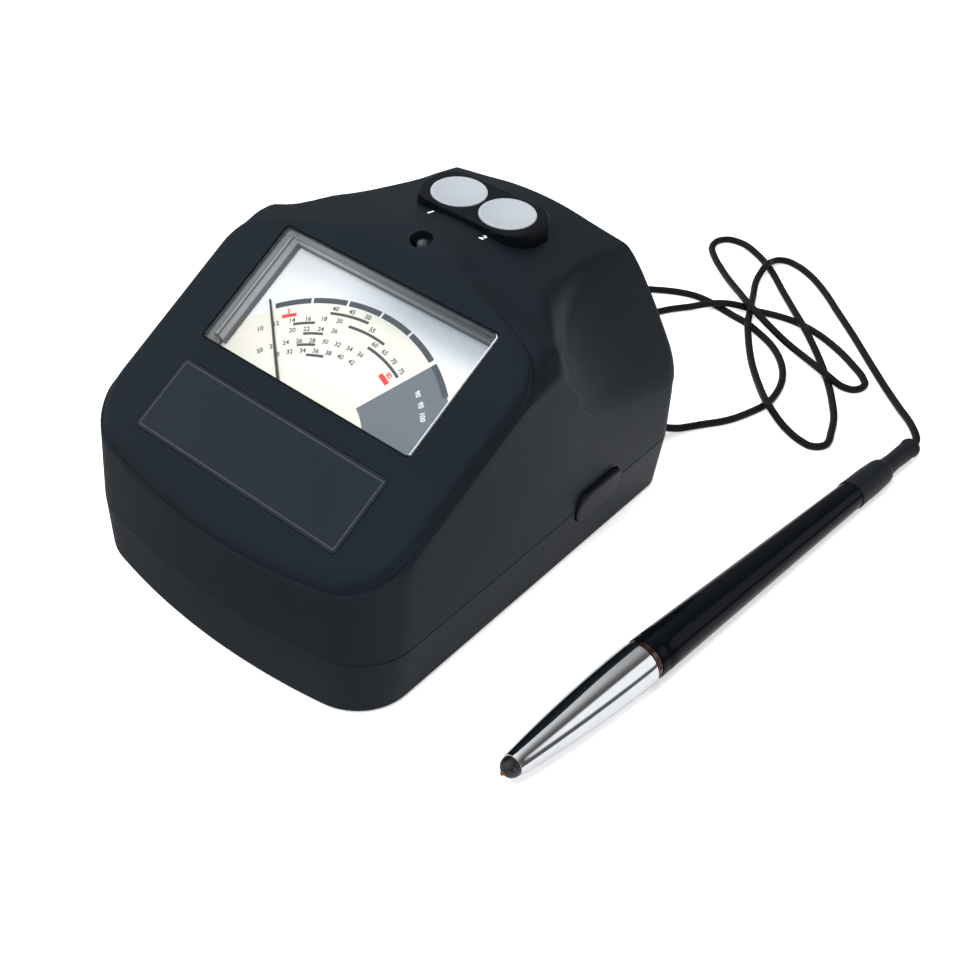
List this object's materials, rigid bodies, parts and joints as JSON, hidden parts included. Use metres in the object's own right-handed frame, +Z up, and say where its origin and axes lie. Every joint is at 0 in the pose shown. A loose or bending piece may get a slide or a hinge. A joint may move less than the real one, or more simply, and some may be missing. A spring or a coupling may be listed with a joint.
{
  "type": "desktop gem tester",
  "caption": "Desktop gem tester with a sloped analogue meter panel, metal test discs on the hood, a side rocker and a pen probe on a thin cord",
  "frame": {"origin": "on the table, under the middle of the housing's plan", "axes": "+Z up, +Y to the rear, +X to the right side"},
  "size_m": [0.1486, 0.2525, 0.0821],
  "materials": {
    "housing": "fine texture",
    "name_plate": "fine grain",
    "lens": "clear",
    "case": "satin",
    "dial": "matte",
    "magnet": "sintered",
    "iron": "turned",
    "brass": "satin",
    "jewel": "polished",
    "copper": "bright copper",
    "pointer": "matte",
    "steel": "bright",
    "block": "satin gloss",
    "disc": "satin",
    "lamp": "diffuse",
    "rocker": "fine texture",
    "board": "lacquered",
    "dark_screw": "blackened",
    "rubber": "matte",
    "cell": "printed sleeve",
    "contact": "nickel plated",
    "cord": "satin",
    "barrel": "gloss",
    "chrome": "polished",
    "bronze": "satin",
    "ivory": "glazed"
  },
  "bodies": {
    "tester": {"upper_housing": "housing", "lower_housing": "housing", "name_plate": "name_plate", "meter_lens": "lens", "meter_case": "case", "dial_plate": "dial", "meter_magnet": "magnet", "meter_core": "iron", "upper_bridge": "brass", "lower_bridge": "brass", "pivot_jewels": "jewel", "hair_spring": "brass", "meter_screws": "steel", "disc_block": "block", "test_disc_left": "disc", "test_disc_right": "disc", "ready_lamp": "lamp", "switch_body": "rocker", "switch_pin": "steel", "main_board": "board", "board_screws": "steel", "usb_socket": "steel", "housing_screws": "dark_screw", "rubber_feet": "rubber", "battery_cells": "cell", "battery_contacts": "contact", "cord_gland": "rubber", "probe_cord": "cord"},
    "needle": {"pointer": "pointer", "moving_coil": "copper"},
    "rocker": {"power_rocker": "rocker"},
    "door": {"battery_door": "housing"},
    "probe": {"probe_barrel": "barrel", "probe_ring": "bronze", "probe_cone": "chrome", "probe_nose": "block", "probe_core": "ivory", "tip_spring": "steel", "tail_sleeve": "rubber", "cord_sleeve": "rubber"},
    "tip": {"probe_tip": "copper"}
  },
  "joints": [
    {"name": "needle_swing", "type": "hinge", "parent": "tester", "child": "needle", "pos_m": [0, -0.03594, 0.04471], "axis": [0, 0.5, -0.866], "range_deg": [0, 90], "stiffness_Nm_per_rad": 0.0005},
    {"name": "power_rock", "type": "hinge", "parent": "tester", "child": "rocker", "pos_m": [0.0452, 0.0288, 0.0182], "axis": [0, 0, 1], "range_deg": [-3.5, 3.5]},
    {"name": "door_slide", "type": "slide", "parent": "tester", "child": "door", "axis": [0, 1, 0], "range_m": [0, 0.045]},
    {"name": "probe_lift", "type": "slide", "parent": "tester", "child": "probe", "axis": [0, 0, 1], "range_m": [0, 0.025]},
    {"name": "tip_press", "type": "slide", "parent": "probe", "child": "tip", "axis": [0.0757, 0.997, -0.0172], "range_m": [0, 0.0008], "stiffness_N_per_m": 300, "deforming": ["tip_spring"]}
  ]
}
